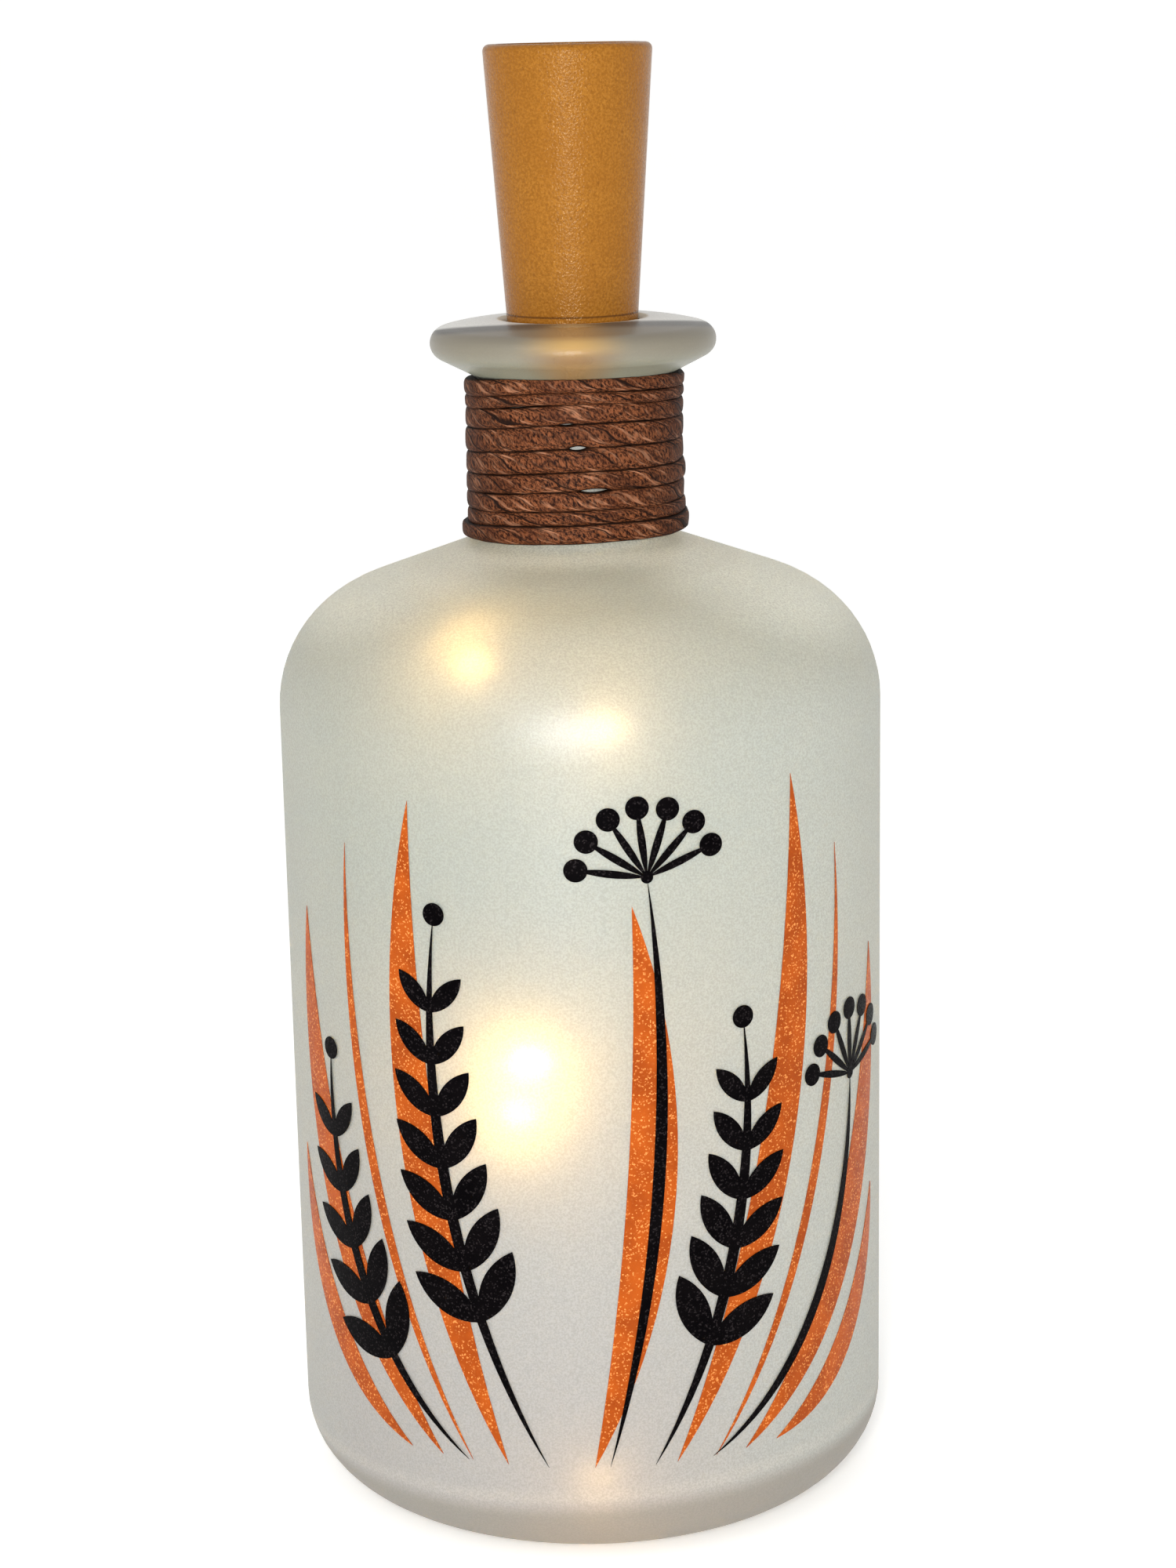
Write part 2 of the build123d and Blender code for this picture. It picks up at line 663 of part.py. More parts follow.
def negative_contact():
    return disc(CONTACT_RADIUS, HOLDER_FLOOR_Z, SPRING_Z)


def negative_spring():
    seat = SPRING_WIRE / 2 + SPRING_SEAT_GAP
    foot_radius = CONTACT_RADIUS - SPRING_INSET
    bottom = SPRING_Z + seat
    top = CELLS_Z - seat
    return coil(foot_radius, SPRING_TOP_RADIUS, bottom, top, SPRING_TURNS, SPRING_WIRE, 0)


def positive_lead():
    bend_z = LEDGE_Z - FIT_GAP
    middle_z = (LEDGE_Z + SOLDER_TOP_Z) / 2
    points = [
        (LEAD_X, 0, BOARD_Z),
        (LEAD_X, 0, bend_z),
        (LEAD_SPACING / 2, 0, middle_z),
        (LEAD_SPACING / 2, 0, SOLDER_TOP_Z),
    ]
    return routed_tube("positive_lead", points, LEAD_DIAMETER)


def negative_lead():
    middle_z = (LEDGE_Z + SOLDER_TOP_Z) / 2
    points = [
        (0, 0, HOLDER_FLOOR_Z),
        (0, 0, (LEDGE_Z + middle_z) / 2),
        (-LEAD_SPACING / 2, 0, middle_z),
        (-LEAD_SPACING / 2, 0, SOLDER_TOP_Z),
    ]
    return routed_tube("negative_lead", points, LEAD_DIAMETER)


def solder_joint():
    return disc(SPLICE_BORE - FIT_GAP, SOLDER_Z, SOLDER_TOP_Z)


def splice_sleeve():
    sleeve = disc(SPLICE_BORE + SPLICE_WALL, SPLICE_Z, SPLICE_TOP_Z)
    return sleeve - disc(SPLICE_BORE, SPLICE_Z, SPLICE_TOP_Z)


def wire_grommet():
    lip_z = FOOT_Z - GROMMET_LIP_THICKNESS
    flange_top = FLOOR_Z + GROMMET_FLANGE_THICKNESS
    grommet = disc(GROMMET_RADIUS, lip_z, flange_top)
    grommet += disc(GROMMET_LIP, lip_z, FOOT_Z)
    grommet += disc(GROMMET_FLANGE, FLOOR_Z, flange_top)
    return grommet - disc(WIRE_RADIUS + FIT_GAP, lip_z, flange_top)


def wire_points():
    """The wire's corners, with its route fitted to the room inside the glass."""
    across = (BODY_RADIUS - GLASS_WALL) / ROUTE_RADIUS
    upward = WALL_TOP / ROUTE_WALL_TOP
    route = [Vector(x * across, y * across, z * upward) for x, y, z in WIRE_ROUTE]
    return [Vector(0, 0, SOLDER_Z)] + route


def led_wire():
    return routed_tube("led_wire", wire_points(), WIRE_DIAMETER)


def drop_places():
    """A plane for each drop: on its run's middle, and one that closes the wire's end."""
    points = wire_points()
    places = []
    for run in DROP_RUNS:
        way = points[run + 1] - points[run]
        places.append(((points[run] + points[run + 1]) * 0.5, way))
    last_way = points[-1] - points[-2]
    places.append((points[-1] - last_way.normalized() * CHIP_LENGTH, last_way))
    planes = []
    for middle, way in places:
        out = Vector(middle.X, middle.Y, 0)
        outward = out - way.normalized() * out.dot(way.normalized())
        planes.append(Plane(origin=middle, x_dir=outward, z_dir=way))
    return planes


def led_drop(closed):
    """A drop of resin round the wire, with a pocket for its chip. The last one is closed."""
    bulge = DROP_DIAMETER / 2
    hole = WIRE_RADIUS + FIT_GAP
    bow = ((DROP_LENGTH / 2) ** 2 + bulge**2) / (2 * bulge)
    half = math.sqrt(bow**2 - (bow - bulge + hole) ** 2)
    edges = [ThreePointArc((hole, -half), (bulge, 0), (hole, half))]
    hole_end = half
    if closed:
        hole_end = CHIP_LENGTH + FIT_GAP
        edges.append(Polyline((hole, half), (0, half), (0, hole_end), (hole, hole_end)))
    edges.append(Line((hole, hole_end), (hole, -half)))
    return turned(edges) - led_chip(FIT_GAP)


def led_chip(gap):
    """A chip on the wire's outer side, or with a gap the pocket that it lies in."""
    length = CHIP_LENGTH + 2 * gap
    inner = WIRE_RADIUS + FIT_GAP - gap
    height = CHIP_HEIGHT + 2 * gap
    return block(height, CHIP_WIDTH + 2 * gap, -length / 2, length / 2, x=inner + height / 2)


def led_drops():
    places = drop_places()
    drops = [place.location * led_drop(False) for place in places[:-1]]
    return Compound(drops + [places[-1].location * led_drop(True)])


def led_chips():
    return Compound([place.location * led_chip(0) for place in drop_places()])


SUBPARTS = {
    "bottle_glass": bottle_glass,
    "neck_cord": neck_cord,
    "print_orange": print_orange,
    "print_black": print_black,
    "cork_shell": cork_shell,
    "battery_lid": battery_lid,
    "lid_screw": lid_screw,
    "switch_knob": switch_knob,
    "switch_body": switch_body,
    "switch_terminals": switch_terminals,
    "circuit_board": circuit_board,
    "resistor": resistor,
    "positive_contact": positive_contact,
    "battery_holder": battery_holder,
    "negative_contact": negative_contact,
    "negative_spring": negative_spring,
    "positive_lead": positive_lead,
    "negative_lead": negative_lead,
    "solder_joint": solder_joint,
    "splice_sleeve": splice_sleeve,
    "wire_grommet": wire_grommet,
    "led_wire": led_wire,
    "led_drops": led_drops,
    "led_chips": led_chips,
}

os.makedirs("parts", exist_ok=True)
for node, make in SUBPARTS.items():
    export_step(make(), f"parts/{node}.step")
for place in range(CELL_COUNT):
    export_step(battery_cell(place), f"parts/battery_cell_{place + 1}.step")
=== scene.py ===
import math

import bpy
from mathutils import Euler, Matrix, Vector, noise


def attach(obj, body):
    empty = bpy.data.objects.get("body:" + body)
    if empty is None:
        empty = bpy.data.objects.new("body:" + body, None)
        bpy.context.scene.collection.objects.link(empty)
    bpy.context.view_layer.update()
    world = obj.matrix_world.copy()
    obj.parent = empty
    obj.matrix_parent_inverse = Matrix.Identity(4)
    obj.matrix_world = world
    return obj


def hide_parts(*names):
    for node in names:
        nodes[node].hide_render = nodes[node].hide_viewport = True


# A frosted bottle light: glass, wound neck, print, cork-shaped stopper and light string.
# The origin is the middle of the base, +Z up, and the printed front faces -Y. The scene is in
# metres. The lengths named below are in millimetres, apart from the studio's.

MM = 0.001
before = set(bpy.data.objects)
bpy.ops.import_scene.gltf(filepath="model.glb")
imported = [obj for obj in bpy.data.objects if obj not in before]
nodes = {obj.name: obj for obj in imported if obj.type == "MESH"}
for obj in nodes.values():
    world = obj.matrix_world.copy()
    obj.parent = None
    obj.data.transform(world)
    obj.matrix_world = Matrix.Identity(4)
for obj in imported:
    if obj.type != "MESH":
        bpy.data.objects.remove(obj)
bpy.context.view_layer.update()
scene = bpy.context.scene
scene.view_settings.view_transform = "Standard"

# Camera, from a fit of the outline in the photograph
CAMERA_DISTANCE = 428.0
CAMERA_HEIGHT = 199.55
CAMERA_PITCH = 13.51
CAMERA_ROLL = -1.13
CAMERA_LENS = 74.16
CAMERA_SENSOR = 36.0
CAMERA_SHIFT = 0.004
CAMERA_CLIP = 10.0

# Studio, in metres and watts: the floor ends in a low rim far away
FLOOR_RADIUS = 40.0
FLOOR_SIDES = 64
FLOOR_GLOW = 0.22
RIM_RADIUS = 42.0
RIM_HEIGHT = 2.0
SKY_STRENGTH = 0.8
FRONT_LIGHT = {
    "place": (-0.022, -0.44, 0.203), "aim": (0, 0, 0.11), "wide": 0.06, "high": 0.15, "power": 1.55,
}
KEY_LIGHT = {
    "place": (-0.50, -0.60, 0.75), "aim": (0, 0, 0.1), "wide": 0.5, "high": 0.5, "power": 0.8,
}

# Light string: the same route as in the part's source
WIRE_ROUTE = [
    (0, 0, 143.95),
    (0, 0, 127),
    (-16, 12, 121),
    (-30, -2, 120),
    (-22.5, -22, 119),
    (-3.5, -32, 117.5),
    (23, -23, 114.5),
    (31, 4, 114),
    (20, 26, 113),
    (-6, 31, 112.5),
    (-28, 14, 112.5),
    (-28, -13, 112.5),
    (-11, -35, 112.4),
    (17, -31.4, 111.4),
    (34, 0, 106),
    (18, 29, 98),
    (-14, 30, 90),
    (-33, 4, 82),
    (-21.7, -31.4, 70.5),
    (7.7, -37.4, 67.5),
    (33, -8, 66.5),
    (24, 23, 65),
    (-8, 32, 64.5),
    (-32, 9, 64),
    (-23, -30.4, 63),
    (6, -37.6, 61),
    (30, -16, 57),
    (29, 18, 49),
    (-2, 33, 41),
    (-28, 16, 32),
    (-15, -25.2, 8.9),
    (16, -26.3, 7.3),
    (27, 2, 13),
    (18, 24, 9.5),
    (-4, 26, 8),
]
ROUTE_ORDER = 3
ROUTE_STEPS = 40
STRAND_COUNT = 2
STRAND_RADIUS = 0.115
STRAND_OFFSET = 0.12
STRAND_PITCH = 3.6
STRAND_SIDES = 8

# Light of the drops and of the chips in them. The upper drops, those behind and those on the base
# give a share of it, and the one in the shoulder and the one half way up in front give more
DROP_LIGHT = 58.0
CHIP_LIGHT = 116.0
LIT_ABOVE = 0.4
LIT_BEHIND = 0.33
LIT_BELOW = 0.5
LIT_TOP = 1.8
LIT_MIDDLE = 2.0

# Stretches over which that light changes: heights, and for those in front the depth
UPPER_DROPS = (78, 105)
FRONT_DROPS = (-6, -20)
BASE_DROPS = (15, 35)
TOP_DROP = (113.8, 116.0)
MIDDLE_DROPS = ((64.5, 66.0), (72.5, 74.0))

# Middle of the glass between its inside and outside: heights and radii, and the base's height
GLASS_TOP = 160.0
GLASS_MIDDLE = [
    (0, 33), (5, 34.5), (7, 37.3), (13, 39), (109, 39), (118, 36.2), (122.5, 31.1), (125, 25.6),
    (128, 17.4), (131, 11.5), (133, 10.7), (158, 10.7), (159, 8.9), (160, 8.9),
]
BASE_MIDDLE = 4.5

# Heights over which the frost's colour changes. The solid base ends a little higher on one side
# Painted shade on the solid base, and a painted highlight on its seam
BASE_SHADE = (7.4, 10.4)
BASE_SEAM_HIGHLIGHT = ((9.4, 10.6), (10.8, 12.4))
BASE_SLANT = 0.04
BODY_RISE = (15, 105)
SHOULDER = (111, 124)
# A painted shade line under the winding, and painted light on the neck's root above it
NECK_SHADE_LINE = ((127.2, 128.6), (129.0, 130.0))
NECK_ROOT_LIGHT = (128.8, 130.4)

# Distances from the middle over which painted light makes it paler: the body to the right and at
# both sides,
# and the shoulder at both sides, sooner the higher it is and more on its right
BODY_RIGHT = (4, 36)
BODY_SIDES = (30, 41)
BROW_SPREAD = (14, 34)
BROW_HEIGHT = 125
BROW_CURVE = 2.6
BROW_RIGHT = 1.15

# Share of the frost that passes light, and of the lip and of its mouth that is see-through
FROST_PASSES = 0.45
LIP_PASSES = 0.55
MOUTH_PASSES = 0.35
INSIDE_SHEEN = 0.04

# Heights over which the lip's colour changes, and its mouth, from its radius inwards
LIP_START = (151.5, 153.5)
# Painted shade: the lip darkens from its flare to its bulge; its crown holds painted reflections
LIP_FLARE = (153.5, 157.2)
LIP_BULGE = (157.3, 159.0)
LIP_CROWN = (158.0, 158.8)
# The cork seen through the lip is painted in, with a painted shadow above its foot and a painted
# highlight at its bulge
AMBER_FOOT_SHADOW = (155.0, 156.1)
AMBER_HIGHLIGHT = (156.3, 157.9)
AMBER_TOP = (158.3, 159.2)
# The mouth's edge carries a painted highlight
MOUTH_HEIGHT = (158.4, 158.7)
MOUTH_RADIUS = (10.2, 9.8)

# How far the lip's wall is turned away where it gets hazy
LIP_HAZY = (0.01, 0.34)

# Depths over which the painted reflections on the lip's top, a dark arc and a pale part, begin, and
# how much a step down
# the lip and a step to its right count against a step back
LIP_DARK_REFLECTION = (-16.8, -12.2)
LIP_PALE_REFLECTION = (-9.7, -6.4)
LIP_FALL = 7.1
LIP_SKEW = 0.10

# A painted shadow line on the stopper just above the mouth
CORK_SHADOW_LINE = ((160.45, 160.60), (160.70, 160.85))

# Paper cord on the neck: widths of its rows from the bottom up, as seen in front
NECK_RADIUS = 12.72
CORD_BOTTOM = 131.6
CORD_TOP = 152.85
CORD_OUTER = 14.55
CORD_ROWS = [2.4, 1.75, 2.5, 2.5, 3.0, 3.15, 2.5, 1.45, 2.3]
CORD_OVERLAP = 0.08
CORD_FOOT_STAND_OUT = 0.85
CORD_FOOT_CURVE = 0.4
CORD_STEPS_PER_TURN = 240
CORD_SIDES = 40
CORD_GIRTH = 6.6
CORD_SQUARENESS = 3.2
CORD_TWIST_SLOPE = 0.32

# In front the rows lie higher, the upper ones more, up to the slanting underside of the lip
CORD_RISE_LOW = 0.5
CORD_RISE_HIGH = 1.1
LIP_ROOT = 152.42
LIP_SLOPE = 0.5095

# Slits where two rows part: turn of the lower row, half length in turns and half height
CORD_SLITS = [(2.528, 0.028, 0.36), (4.504, 0.016, 0.32), (5.489, 0.015, 0.15)]

# Unevenness along the cord: size, waves in a millimetre (in a turn for the long swell) and place
# in the noise
CORD_SWAY = (0.14, 0.07, 3.1)
CORD_RIPPLE = (0.05, 0.40, 8.3)
CORD_UNEVEN = (0.10, 0.13, 7.7)
CORD_SWELL = (0.10, 0.09, 11.3)
CORD_LONG_SWELL = (0.10, 0.90, 23.7)

# Lumps and pleats in it: size, waves across and along the twist and place in the noise, and how
# much of them shows at the rows' edges
CORD_LUMPS = (0.09, 0.60, 0.12, 19.0)
CORD_PLEATS = (0.06, 1.30, 0.10, 5.0)
CORD_EDGE_SHARE = 0.4

# Folds of the paper, with painted shade in their creases: width of a line, and pitch, bend in
# pitches and darkness of each set of lines
FOLD_WIDTH = 0.045
CORD_FOLDS = [(2.3, 1.7, 0.95), (0.8, 2.2, 0.45)]


def mm(lengths):
    return [length * MM for length in lengths]


def add(tree, kind, settings=None, **inputs):
    """Add a node. Plain values are set on its sockets, and other sockets are linked to them."""
    made = tree.nodes.new("ShaderNode" + kind)
    for name, value in (settings or {}).items():
        setattr(made, name, value)
    for name, value in inputs.items():
        put(tree, made.inputs[name.replace("_", " ")], value)
    return made


def put(tree, socket, value):
    if isinstance(value, bpy.types.NodeSocket):
        tree.links.new(value, socket)
    else:
        socket.default_value = value


def calc(tree, operation, *values, clamp=False):
    made = add(tree, "Math", {"operation": operation, "use_clamp": clamp})
    for socket, value in zip(made.inputs, values):
        put(tree, socket, value)
    return made.outputs[0]


def vector_calc(tree, operation, *values):
    made = add(tree, "VectorMath", {"operation": operation})
    for socket, value in zip(made.inputs, values):
        put(tree, socket, value)
    return made.outputs


def product(tree, first, *others):
    for other in others:
        first = calc(tree, "MULTIPLY", first, other)
    return first


def steps(tree, value, low, high, to_low=0.0, to_high=1.0):
    """Smooth change from one value to another as the input goes from low to high."""
    made = add(
        tree, "MapRange", {"interpolation_type": "SMOOTHSTEP"},
        Value=value, From_Min=low, From_Max=high, To_Min=to_low, To_Max=to_high,
    )
    return made.outputs[0]


def band(tree, value, rise, fall, share=1.0):
    """Share that comes in over one stretch of the input and goes out again over another."""
    comes = steps(tree, value, *mm(rise), to_high=share)
    goes = steps(tree, value, *mm(reversed(fall)))
    return product(tree, comes, goes)


def blend_colours(tree, share, first, second):
    made = add(tree, "Mix", {"data_type": "RGBA"})
    put(tree, made.inputs[0], share)
    put(tree, made.inputs[6], first)
    put(tree, made.inputs[7], second)
    return made.outputs[2]


def blend_shaders(tree, share, first, second):
    made = add(tree, "MixShader")
    put(tree, made.inputs[0], share)
    put(tree, made.inputs[1], first)
    put(tree, made.inputs[2], second)
    return made.outputs[0]


def noise_texture(tree, where, scale, detail=2.0, roughness=0.5):
    made = add(tree, "TexNoise", Vector=where, Scale=scale, Detail=detail, Roughness=roughness)
    return made.outputs["Fac"]


def stretched_noise(tree, along, waves, shift=(0, 0, 0), detail=1.0, roughness=0.5):
    """Noise with its own number of waves along the cord and across its twist."""
    drawn = add(tree, "Mapping", Vector=along, Location=shift, Scale=(*waves, 1.0)).outputs[0]
    return noise_texture(tree, drawn, 1.0, detail, roughness)


def bumped(tree, height, strength, distance):
    made = add(tree, "Bump", Height=height, Strength=strength, Distance=distance * MM)
    return made.outputs[0]


def principled(tree, **inputs):
    return add(tree, "BsdfPrincipled", **inputs).outputs[0]


def split(tree, where):
    """The three parts of a place: to the right, backwards and up."""
    return add(tree, "SeparateXYZ", Vector=where).outputs


def new_material(name):
    """An empty node material, its tree and the object coordinates that its patterns follow."""
    material = bpy.data.materials.new(name)
    material.use_nodes = True
    tree = material.node_tree
    tree.nodes.clear()
    where = add(tree, "TexCoord").outputs["Object"]
    return material, tree, where


def close_material(tree, shader):
    output = add(tree, "OutputMaterial")
    tree.links.new(shader, output.inputs["Surface"])


def colour(red, green, blue):
    """A colour given as it looks on screen, in linear light."""
    return tuple(
        (part / 255 / 12.92) if part < 10.3 else ((part / 255 + 0.055) / 1.055) ** 2.4
        for part in (red, green, blue)
    ) + (1.0,)


def moulded(name, dark, light, roughness, grain, bump, metallic=0.0):
    """Plain material with fine grain in its colour, gloss and surface."""
    material, tree, where = new_material(name)
    fine = noise_texture(tree, where, grain, detail=3.0, roughness=0.6)
    broad = noise_texture(tree, where, grain / 12)
    mixed = calc(tree, "MULTIPLY_ADD", fine, 0.6, 0.2)
    tone = blend_colours(tree, calc(tree, "MULTIPLY", mixed, broad, clamp=True), dark, light)
    gloss = steps(tree, fine, 0.2, 0.8, roughness * 0.8, min(1.0, roughness * 1.2))
    shader = principled(
        tree, Base_Color=tone, Roughness=gloss, Metallic=metallic,
        Normal=bumped(tree, fine, bump, 0.1),
    )
    close_material(tree, shader)
    return material


def glass_inside(tree, height, radius):
    """The inside lies within the middle of the glass, and above the middle of the base."""
    middle = add(tree, "ValToRGB", Fac=calc(tree, "DIVIDE", height, GLASS_TOP * MM))
    stops = middle.color_ramp.elements
    while len(stops) < len(GLASS_MIDDLE):
        stops.new(1.0)
    for stop, (up, out) in zip(stops, GLASS_MIDDLE):
        share = out / GLASS_TOP
        stop.position = up / GLASS_TOP
        stop.color = (share, share, share, 1)
    limit = product(tree, middle.outputs[0], GLASS_TOP * MM)
    within = calc(tree, "LESS_THAN", radius, limit)
    return product(tree, within, calc(tree, "GREATER_THAN", height, BASE_MIDDLE * MM))


def frost_tone(tree, where, grain):
    """Greener at the shoulder, warmer below, paler at the sides from painted light, and darker
    where the base is solid glass from painted shade.
    """
    right, _, height = split(tree, where)
    wide = calc(tree, "ABSOLUTE", right)

    # Shoulder and body, both paler at their sides from painted light
    raised = product(tree, calc(tree, "SUBTRACT", height, BROW_HEIGHT * MM), BROW_CURVE)
    righter = calc(tree, "MAXIMUM", wide, product(tree, right, BROW_RIGHT))
    spread = steps(tree, calc(tree, "ADD", righter, raised), *mm(BROW_SPREAD))
    brow = blend_colours(tree, spread, colour(197, 201, 189), colour(251, 255, 245))
    rise = steps(tree, height, *mm(BODY_RISE))
    body = blend_colours(tree, rise, colour(192, 190, 189), colour(184, 192, 185))
    side_light = calc(
        tree, "MAXIMUM", steps(tree, right, *mm(BODY_RIGHT), to_high=0.8),
        steps(tree, wide, *mm(BODY_SIDES), to_high=0.5),
    )
    paler = blend_colours(tree, side_light, body, colour(205, 212, 207))
    whole = blend_colours(tree, steps(tree, height, *mm(SHOULDER)), paler, brow)

    # A painted shade line under the winding, and painted light on the glass above it
    root = blend_colours(tree, steps(tree, height, *mm(NECK_ROOT_LIGHT)), whole, colour(228, 229, 218))
    fold = band(tree, height, *NECK_SHADE_LINE, share=0.14)
    neck = blend_colours(tree, fold, root, colour(150, 144, 130))

    # The solid base in painted shade, with a painted highlight on the seam where it ends
    level = calc(tree, "SUBTRACT", height, product(tree, right, BASE_SLANT))
    solid = blend_colours(tree, steps(tree, level, *mm(BASE_SHADE)), colour(160, 155, 148), neck)
    seam = band(tree, level, *BASE_SEAM_HIGHLIGHT, share=0.22)
    edge = blend_colours(tree, seam, solid, colour(232, 226, 216))

    # Clouds and grain
    cloud = product(tree, noise_texture(tree, where, 60.0), 0.12)
    clouded = blend_colours(tree, cloud, edge, colour(180, 181, 168))
    specks = steps(tree, grain, 0.35, 0.7, to_high=0.22)
    return blend_colours(tree, specks, clouded, colour(150, 150, 138))


def frosted_wall(tree, where, grain, skin):
    """Frost with a satin coat, that passes light softly."""
    tone = frost_tone(tree, where, grain)
    frost = principled(
        tree, Base_Color=tone, Roughness=0.8, IOR=1.47, Normal=skin, Transmission_Weight=0.15,
        Coat_Weight=1.0, Coat_Roughness=0.41, Coat_IOR=2.0, Coat_Normal=skin,
    )
    specks = steps(tree, grain, 0.38, 0.62, to_high=0.42)
    passed = blend_colours(tree, specks, tone, colour(120, 118, 108))
    through = add(tree, "BsdfTranslucent", Color=passed, Normal=skin).outputs[0]
    return blend_shaders(tree, FROST_PASSES, frost, through)


def lip_haze(tree, where, grain):
    """Grey haze, darker from its flare to its bulge as painted shade. On top painted reflections
    make it pale behind and at the sides and end in a dark arc in front.
    """
    right, back, height = split(tree, where)
    # Painted shade, darker from the flare up to the bulge
    flare = blend_colours(
        tree, steps(tree, height, *mm(LIP_FLARE)), colour(132, 134, 116), colour(115, 109, 93)
    )
    bulge_shaded = blend_colours(tree, steps(tree, height, *mm(LIP_BULGE)), flare, colour(107, 100, 85))
    # Painted reflections on the top: a dark arc in front, pale behind and at the sides
    crown = steps(tree, height, *mm(LIP_CROWN))
    fall = product(tree, calc(tree, "SUBTRACT", height, GLASS_TOP * MM), LIP_FALL)
    skew = product(tree, right, LIP_SKEW)
    depth = calc(tree, "SUBTRACT", calc(tree, "ADD", back, fall), skew)
    arc = product(tree, steps(tree, depth, *mm(LIP_DARK_REFLECTION), to_high=0.85), crown)
    arched = blend_colours(tree, arc, bulge_shaded, colour(48, 45, 38))
    pale = product(tree, steps(tree, depth, *mm(LIP_PALE_REFLECTION)), crown)
    mist = blend_colours(tree, pale, arched, colour(224, 224, 218))
    specks = steps(tree, grain, 0.35, 0.7, to_high=0.2)
    return blend_colours(tree, specks, mist, colour(106, 100, 87))


def lip_amber(tree, height):
    """The cork seen through the lip, painted into its colour, with a painted shadow above the foot
    and a painted highlight at the bulge.
    """
    low = steps(tree, height, *mm(AMBER_FOOT_SHADOW))
    foot = blend_colours(tree, low, colour(200, 157, 97), colour(172, 130, 76))
    # Painted highlight at the bulge, above a painted shadow
    bulge = steps(tree, height, *mm(AMBER_HIGHLIGHT))
    bright = blend_colours(tree, bulge, foot, colour(234, 188, 108))
    return blend_colours(tree, steps(tree, height, *mm(AMBER_TOP)), bright, colour(212, 165, 100))


def lip_satin(tree, tone, skin):
    return principled(
        tree, Base_Color=tone, Roughness=0.7, Normal=skin,
        Coat_Weight=0.6, Coat_Roughness=0.25, Coat_Normal=skin,
    )


def glass_lip(tree, where, flat, radius, grain, skin):
    """Clear enough in its middle to show the cork, whose colour is also painted in, and hazy
    towards its sides, with a painted highlight on its mouth.
    """
    height = split(tree, where)[2]
    outward = vector_calc(tree, "NORMALIZE", flat)["Vector"]
    turned = add(tree, "LayerWeight", Blend=0.5, Normal=outward).outputs["Facing"]
    sideways = steps(tree, calc(tree, "POWER", turned, 0.5), *LIP_HAZY)
    haze = lip_satin(tree, lip_haze(tree, where, grain), skin)
    painted_cork = lip_satin(tree, lip_amber(tree, height), skin)
    see = add(tree, "BsdfTransparent", Color=colour(255, 250, 240)).outputs[0]
    window = blend_shaders(tree, LIP_PASSES, painted_cork, see)
    sides = blend_shaders(tree, sideways, window, haze)
    # Painted highlight on the mouth's edge
    edge = principled(tree, Base_Color=colour(236, 220, 188), Roughness=0.35, Normal=skin)
    rim = blend_shaders(tree, MOUTH_PASSES, edge, see)
    mouth = product(
        tree, steps(tree, radius, *mm(MOUTH_RADIUS)), steps(tree, height, *mm(MOUTH_HEIGHT))
    )
    return blend_shaders(tree, mouth, sides, rim)


def frosted_glass():
    """Frosted outside that passes light softly, a clearer lip, and an inside that lets it by."""
    material, tree, where = new_material("frosted_glass")
    height = split(tree, where)[2]
    flat = vector_calc(tree, "MULTIPLY", where, (1, 1, 0))["Vector"]
    radius = vector_calc(tree, "LENGTH", flat)["Value"]
    grain = noise_texture(tree, where, 3800.0, roughness=0.7)
    skin = bumped(tree, grain, 0.6, 0.06)
    wall = frosted_wall(tree, where, grain, skin)
    lip = glass_lip(tree, where, flat, radius, grain, skin)
    outside = blend_shaders(tree, steps(tree, height, *mm(LIP_START)), wall, lip)
    clear = add(tree, "BsdfTransparent").outputs[0]
    sheen = principled(tree, Base_Color=colour(225, 226, 216), Roughness=0.3)
    inner = blend_shaders(tree, INSIDE_SHEEN, clear, sheen)
    inside = glass_inside(tree, height, radius)
    close_material(tree, blend_shaders(tree, inside, outside, inner))
    return material


def cork_plastic():
    """Pearly paint in the colour of cork: fine grains that sparkle, and a few dark flecks."""
    material, tree, where = new_material("cork_plastic")
    fine = noise_texture(tree, where, 3200.0, roughness=0.7)
    grains = noise_texture(tree, where, 3400.0, detail=1.0)
    broad = noise_texture(tree, where, 150.0, detail=3.0, roughness=0.6)
    flecks = add(tree, "TexVoronoi", Vector=where, Scale=420.0, Randomness=1.0).outputs["Distance"]
    height = split(tree, where)[2]
    tone = blend_colours(
        tree, steps(tree, fine, 0.30, 0.72), colour(126, 78, 21), colour(153, 101, 36)
    )
    warmth = steps(tree, broad, 0.35, 0.75, to_high=0.4)
    warmed = blend_colours(tree, warmth, tone, colour(131, 80, 22))
    spots = steps(tree, flecks, 0.05, 0.12, 0.35, 0.0)
    spotted = blend_colours(tree, spots, warmed, colour(90, 48, 12))
    # Painted shadow line just above the mouth
    line = band(tree, height, *CORK_SHADOW_LINE, share=0.75)
    shadow_lined = blend_colours(tree, line, spotted, colour(70, 38, 12))
    shader = principled(
        tree, Base_Color=shadow_lined, Specular_IOR_Level=0.22, IOR=1.4,
        Specular_Tint=colour(255, 236, 200),
        Roughness=steps(tree, fine, 0.3, 0.7, 0.28, 0.18),
        Normal=bumped(tree, grains, 1.0, 0.10),
    )
    close_material(tree, shader)
    return material


